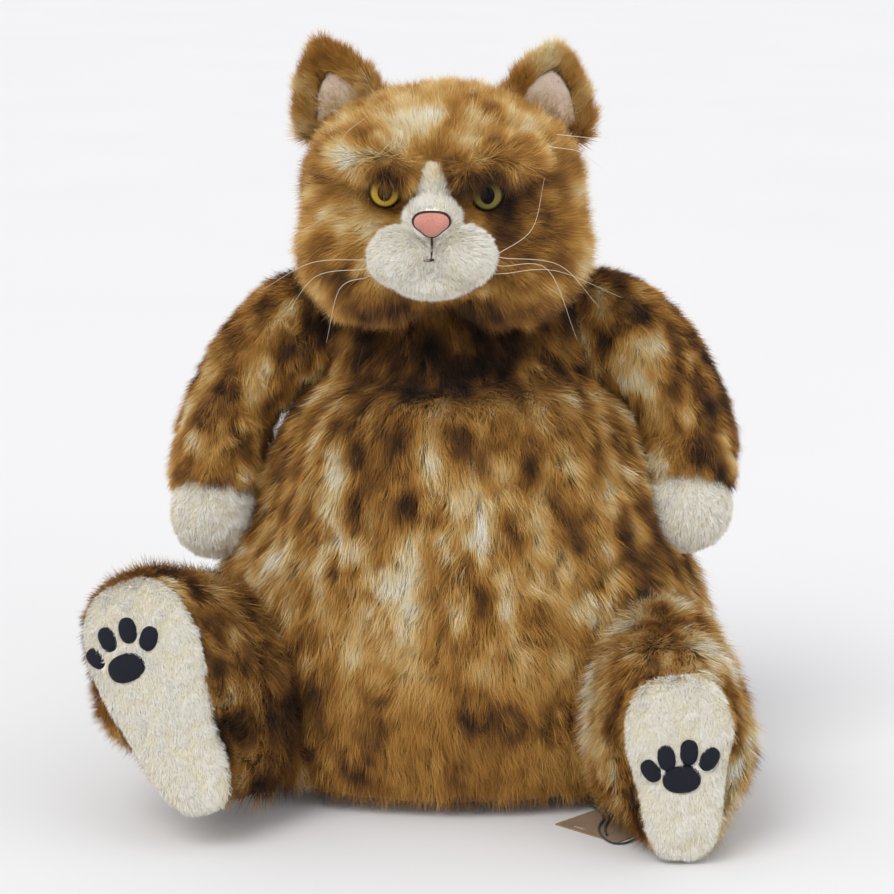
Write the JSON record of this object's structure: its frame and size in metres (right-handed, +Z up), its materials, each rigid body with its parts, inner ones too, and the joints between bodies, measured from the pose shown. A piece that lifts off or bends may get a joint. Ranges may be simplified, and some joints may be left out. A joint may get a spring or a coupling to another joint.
{
  "type": "seated plush cat",
  "caption": "Seated stuffed toy cat in long spotted pile, with a short cream muzzle, soles and paws, flat seat, turning head, swinging limbs and tail.",
  "frame": {"origin": "centre of the flat seat, on the surface it sits on", "axes": "+Z up; the cat faces -Y; its own left side is +X"},
  "size_m": [0.3422, 0.3467, 0.3936],
  "materials": {
    "long_pile": "matte",
    "cream_pile": "matte",
    "muzzle_pile": "matte",
    "seat_fabric": "matte",
    "fibre_filling": "matte",
    "pellet_cloth": "matte",
    "ear_satin": "satin",
    "nose_velour": "satin",
    "embroidery_thread": "satin",
    "eye_dome_plastic": "gloss",
    "eye_black_plastic": "gloss",
    "whisker_nylon": "satin",
    "tag_board": "matte",
    "elastic_cord": "matte"
  },
  "bodies": {
    "torso": {"belly_panel": "long_pile", "back_left_panel": "long_pile", "back_right_panel": "long_pile", "seat_panel": "seat_fabric", "pellet_bag": "pellet_cloth", "torso_stuffing": "fibre_filling", "tag_card": "tag_board", "tag_cord_outer": "elastic_cord", "tag_cord_inner": "elastic_cord"},
    "head": {"face_panel": "long_pile", "head_back_left_panel": "long_pile", "head_back_right_panel": "long_pile", "head_stuffing": "fibre_filling", "muzzle_cover": "muzzle_pile", "nose_pad": "nose_velour", "mouth_stitch": "embroidery_thread", "left_eye_dome": "eye_dome_plastic", "left_eye_seat": "eye_black_plastic", "left_eye_washer": "eye_black_plastic", "right_eye_dome": "eye_dome_plastic", "right_eye_seat": "eye_black_plastic", "right_eye_washer": "eye_black_plastic", "left_ear_back": "long_pile", "left_ear_lining": "ear_satin", "right_ear_back": "long_pile", "right_ear_lining": "ear_satin", "left_whiskers": "whisker_nylon", "right_whiskers": "whisker_nylon", "brow_whiskers": "whisker_nylon"},
    "left_arm": {"left_arm_sleeve": "long_pile", "left_paw_cover": "cream_pile", "left_arm_stuffing": "fibre_filling"},
    "right_arm": {"right_arm_sleeve": "long_pile", "right_paw_cover": "cream_pile", "right_arm_stuffing": "fibre_filling"},
    "left_leg": {"left_leg_cover": "long_pile", "left_leg_stuffing": "fibre_filling", "left_sole": "cream_pile", "left_toe_pads": "embroidery_thread"},
    "right_leg": {"right_leg_cover": "long_pile", "right_leg_stuffing": "fibre_filling", "right_sole": "cream_pile", "right_toe_pads": "embroidery_thread"},
    "tail": {"tail_cover": "long_pile", "tail_stuffing": "fibre_filling"}
  },
  "joints": [
    {"name": "head_turn", "type": "hinge", "parent": "torso", "child": "head", "pos_m": [-0.004, -0.005, 0.262], "axis": [0, 0, 1], "range_deg": [-20, 20]},
    {"name": "left_arm_lift", "type": "hinge", "parent": "torso", "child": "left_arm", "pos_m": [0.084, 0.006, 0.247], "axis": [0, -1, 0], "range_deg": [0, 60]},
    {"name": "right_arm_lift", "type": "hinge", "parent": "torso", "child": "right_arm", "pos_m": [-0.088, 0.006, 0.246], "axis": [0, 1, 0], "range_deg": [0, 60]},
    {"name": "left_leg_splay", "type": "hinge", "parent": "torso", "child": "left_leg", "pos_m": [0.103, -0.028, 0.052], "axis": [0, 0, 1], "range_deg": [0, 24]},
    {"name": "right_leg_splay", "type": "hinge", "parent": "torso", "child": "right_leg", "pos_m": [-0.099, -0.036, 0.054], "axis": [0, 0, -1], "range_deg": [0, 15]},
    {"name": "tail_swing", "type": "hinge", "parent": "torso", "child": "tail", "pos_m": [0.01, 0.106, 0.022], "axis": [0, 0, 1], "range_deg": [-15, 15]}
  ]
}
